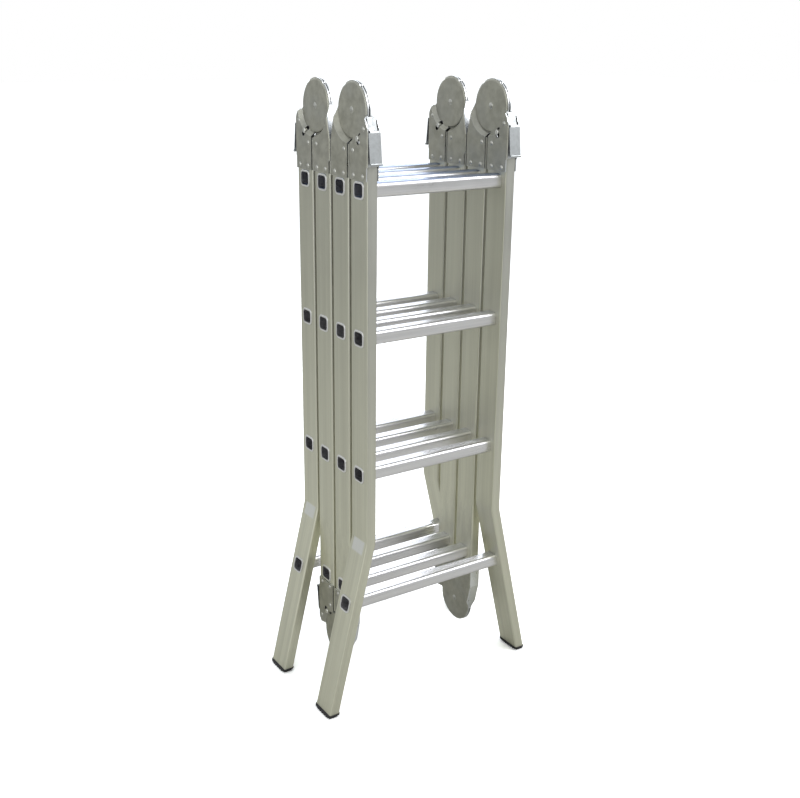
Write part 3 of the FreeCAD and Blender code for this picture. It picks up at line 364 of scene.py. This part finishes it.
def hinge_steel(name):
    """Zinc plated pressed steel: faint mottling, wiped scratches, a painted highlight on the rims and
    edges, and painted shade in corners and between the plates.
    """
    shader = Shader(name)
    mottle = shader.noise(60.0, detail=5.0, roughness=0.6)
    spangle = shader.noise(260.0, detail=2.0)
    wiped = shader.noise(1.0, shader.scaled((60.0, 900.0, 90.0)), detail=3.0)
    cloud = shader.noise(14.0, detail=3.0)
    colour = shader.mix(shader.span(mottle, 0.35, 0.65), ZINC_DARK, ZINC_LIGHT)
    colour = shader.mix(shader.span(cloud, 0.45, 0.7, 0.0, 0.4), colour, ZINC_CLOUD)
    # Painted highlight on the plates' rims and edges.
    side = shader.math("ABSOLUTE", shader.split(shader.normal)[0])
    rim = shader.span(side, 0.55, 0.3)
    edge = shader.edges(0.0009)
    rim_highlight = shader.math("MULTIPLY", rim, 0.85)
    rim_and_edge_highlight = shader.math("MAXIMUM", rim_highlight, shader.math("MULTIPLY", edge, 0.8))
    colour = shader.mix(rim_and_edge_highlight, colour, ZINC_PAINTED_HIGHLIGHT)
    # Painted shade in corners and between the plates.
    painted_crevice_shade = shader.math("MAXIMUM", shader.crevice(0.006), shader.crevice(0.03))
    colour = shader.mix(shader.math("MULTIPLY", painted_crevice_shade, 0.8), colour, ZINC_PAINTED_SHADE)
    satin = shader.span(mottle, 0.3, 0.7, 0.36, 0.5)
    roughness = shader.math("ADD", satin, shader.span(wiped, 0.4, 0.7, 0.0, 0.08))
    roughness = shader.math("SUBTRACT", roughness, shader.math("MULTIPLY", rim_and_edge_highlight, 0.16))
    bump = shader.bump(mottle, 0.0001)
    bump = shader.bump(spangle, 0.00003, under=bump)
    bump = shader.bump(wiped, 0.00002, under=bump)
    return shader.finish(colour=colour, metal=1.0, rough=roughness, bump=bump)


def bright_steel(name, metal, rough):
    """Small bright steel pieces: pins, levers and rivets, with a painted highlight on their edges and
    painted shade where they meet the plates.
    """
    shader = Shader(name)
    fine = shader.noise(420.0, detail=3.0)
    patch = shader.noise(110.0, detail=3.0)
    colour = shader.mix(shader.span(patch, 0.35, 0.7), metal, darker(metal, 0.8))
    # Painted highlight along the edges.
    edge = shader.edges(0.0006)
    colour = shader.mix(shader.math("MULTIPLY", edge, 0.5), colour, STEEL_PAINTED_HIGHLIGHT)
    # Painted shade where the pieces meet the plates.
    painted_crevice_shade = shader.math("MULTIPLY", shader.crevice(0.004), 0.6)
    colour = shader.mix(painted_crevice_shade, colour, darker(metal, 0.25))
    roughness = shader.span(patch, 0.3, 0.7, rough, rough + 0.14)
    bump = shader.bump(fine, 0.00001)
    return shader.finish(colour=colour, metal=1.0, rough=roughness, bump=bump)


def rubber(name):
    """Moulded black rubber with a fine grain and dust in the hollows."""
    shader = Shader(name)
    grain = shader.noise(1500.0, detail=2.0)
    dust = shader.noise(70.0, detail=4.0)
    low = shader.split(shader.place)[2]
    scuff = shader.math("MULTIPLY", shader.span(low, 0.006, 0.0), shader.span(dust, 0.4, 0.65))
    colour = shader.mix(shader.span(dust, 0.4, 0.8, 0.0, 0.35), RUBBER_CLEAN, RUBBER_DUST)
    colour = shader.mix(shader.math("MULTIPLY", scuff, 0.45), colour, RUBBER_SCUFF)
    # Painted sheen along the edges.
    edge = shader.edges(0.001)
    colour = shader.mix(shader.math("MULTIPLY", edge, 0.35), colour, RUBBER_PAINTED_SHEEN)
    roughness = shader.span(dust, 0.3, 0.7, 0.5, 0.72)
    bump = shader.bump(grain, 0.00012)
    return shader.finish(colour=colour, metal=0.0, rough=roughness, bump=bump)


def dress(node, material):
    """Give a CAD node its material."""
    mesh = frame["nodes"][node].data
    mesh.materials.clear()
    mesh.materials.append(material)


def dress_frame():
    """Every CAD node's material, by the kind of piece."""
    stile = aluminium(
        "stile_aluminium",
        metal=STILE_METAL,
        streak=STILE_STREAK,
        grain=(LINES_ACROSS, LINES_ACROSS, LINES_ALONG),
        rough=0.4,
        edge_highlight=0.3,
        leg=True,
    )
    rung = aluminium(
        "rung_aluminium",
        metal=RUNG_METAL,
        streak=RUNG_STREAK,
        grain=(LINES_ALONG, LINES_ACROSS, LINES_ACROSS),
        rough=0.32,
        edge_highlight=0.2,
    )
    sheet = hinge_steel("hinge_steel")
    lever = bright_steel("lever_steel", LEVER_METAL, rough=0.36)
    pin = bright_steel("pin_steel", PIN_METAL, rough=0.2)
    spring = bright_steel("spring_steel", SPRING_METAL, rough=0.3)
    rivet = bright_steel("rivet_steel", RIVET_METAL, rough=0.28)
    sole = rubber("foot_rubber")
    kinds = (
        ("_stile_", stile),
        ("_rung_", rung),
        ("_plate_", sheet),
        ("_release_lever_", lever),
        ("_lock_pin_", pin),
        ("_lever_springs", spring),
        ("_rivets", rivet),
        ("_feet", sole),
    )
    for node in frame["nodes"]:
        material = next(material for key, material in kinds if key in node)
        dress(node, material)


# ---------------------------------------------------------------- stage


def floor_material():
    """Very pale floor for the camera; reflections see it darker, as a floor beyond the lit area is."""
    shader = Shader("floor")
    grain = shader.noise(3.0, detail=2.0)
    lighter = [channel * 1.01 for channel in FLOOR_SEEN]
    seen = shader.mix(shader.span(grain, 0.3, 0.7), FLOOR_SEEN, lighter)
    camera_ray = shader.node("LightPath").outputs["Is Camera Ray"]
    colour = shader.mix(camera_ray, FLOOR_REFLECTED, seen)
    shader.surface.inputs["Specular IOR Level"].default_value = 0.0
    return shader.finish(colour=colour, metal=0.0, rough=1.0)


def floor():
    """A wide floor that sinks with the lowest section when the ladder opens out."""
    bpy.ops.mesh.primitive_plane_add(size=FLOOR_SIZE, location=(0.0, 0.0, 0.0))
    plane = bpy.context.object
    plane.name = "floor"
    plane.data.transform(Matrix.Translation((0.0, 0.0, -FLOOR_GAP)))
    plane.data.materials.append(floor_material())
    sink = plane.driver_add("location", 2).driver
    sink.type = "MIN"
    for body in ("rear_outer_section", "front_inner_section"):
        variable = sink.variables.new()
        variable.type = "TRANSFORMS"
        target = variable.targets[0]
        target.id = frame["bodies"][body]
        target.transform_type = "LOC_Z"
        target.transform_space = "WORLD_SPACE"


def world():
    """Soft studio light from all round, brightest above and behind, white to the camera."""
    studio = bpy.data.worlds.new("studio")
    studio.use_nodes = True
    nodes = NodeTree(studio.node_tree)
    background = nodes.node("Background")
    nodes.join(background.outputs[0], nodes.node("OutputWorld").inputs[0])
    toward = nodes.node("VectorMath", operation="DOT_PRODUCT")
    nodes.join(nodes.node("TexCoord").outputs["Generated"], toward.inputs[0])
    toward.inputs[1].default_value = STUDIO_SIDE
    shade = nodes.span(toward.outputs["Value"], -1.0, 1.0, STUDIO_DIM, STUDIO_BRIGHT)
    camera_ray = nodes.node("LightPath").outputs["Is Camera Ray"]
    strength = nodes.node("Mix")
    for index, value in ((0, camera_ray), (2, shade), (3, 1.0)):
        nodes.feed(strength.inputs[index], value)
    nodes.join(strength.outputs[0], background.inputs["Strength"])
    nodes.join(nodes.mix(camera_ray, STUDIO_TINT, WHITE), background.inputs["Color"])
    bpy.context.scene.world = studio


def area_light(name, place, size, energy, colour):
    """A soft square light aimed at the middle of the ladder; its energy is in watts."""
    data = bpy.data.lights.new(name, "AREA")
    data.shape = "SQUARE"
    data.size = size
    data.energy = energy
    data.color = colour
    light = bpy.data.objects.new(name, data)
    light.location = place
    aim = LADDER_MIDDLE - Vector(place)
    light.rotation_mode = "QUATERNION"
    light.rotation_quaternion = aim.to_track_quat("-Z", "Y")
    bpy.context.scene.collection.objects.link(light)


def lights():
    """Key from the upper right front, fill from the left and one behind for the rung tops."""
    area_light("key", (2.2, -2.2, 3.2), size=2.2, energy=68.0, colour=WHITE)
    area_light("fill", (-3.0, -1.0, 1.8), size=2.5, energy=28.0, colour=(0.99, 1.0, 0.97))
    area_light("back", (1.6, 3.0, 2.0), size=2.4, energy=30.0, colour=(0.9, 0.95, 1.0))


def camera():
    """The camera, turned by yaw, pitch and roll from looking along +Y."""
    yaw, pitch, roll = (math.radians(angle) for angle in (CAMERA_YAW, CAMERA_PITCH, CAMERA_ROLL))
    forward = Vector((math.sin(yaw), math.cos(yaw), 0.0))
    ahead = forward * math.cos(pitch) - Vector((0.0, 0.0, math.sin(pitch)))
    level = Vector((math.cos(yaw), -math.sin(yaw), 0.0))
    upright = level.cross(ahead)
    right = level * math.cos(roll) + upright * math.sin(roll)
    up = upright * math.cos(roll) - level * math.sin(roll)
    data = bpy.data.cameras.new("camera")
    data.lens = CAMERA_LENS
    data.sensor_width = SENSOR
    made = bpy.data.objects.new("camera", data)
    turn = Matrix((right, up, -ahead)).transposed()
    made.matrix_world = Matrix.Translation(CAMERA_PLACE) @ turn.to_4x4()
    bpy.context.scene.collection.objects.link(made)
    bpy.context.scene.camera = made


dress_frame()
floor()
world()
lights()
camera()
bpy.context.scene.view_settings.view_transform = "Standard"
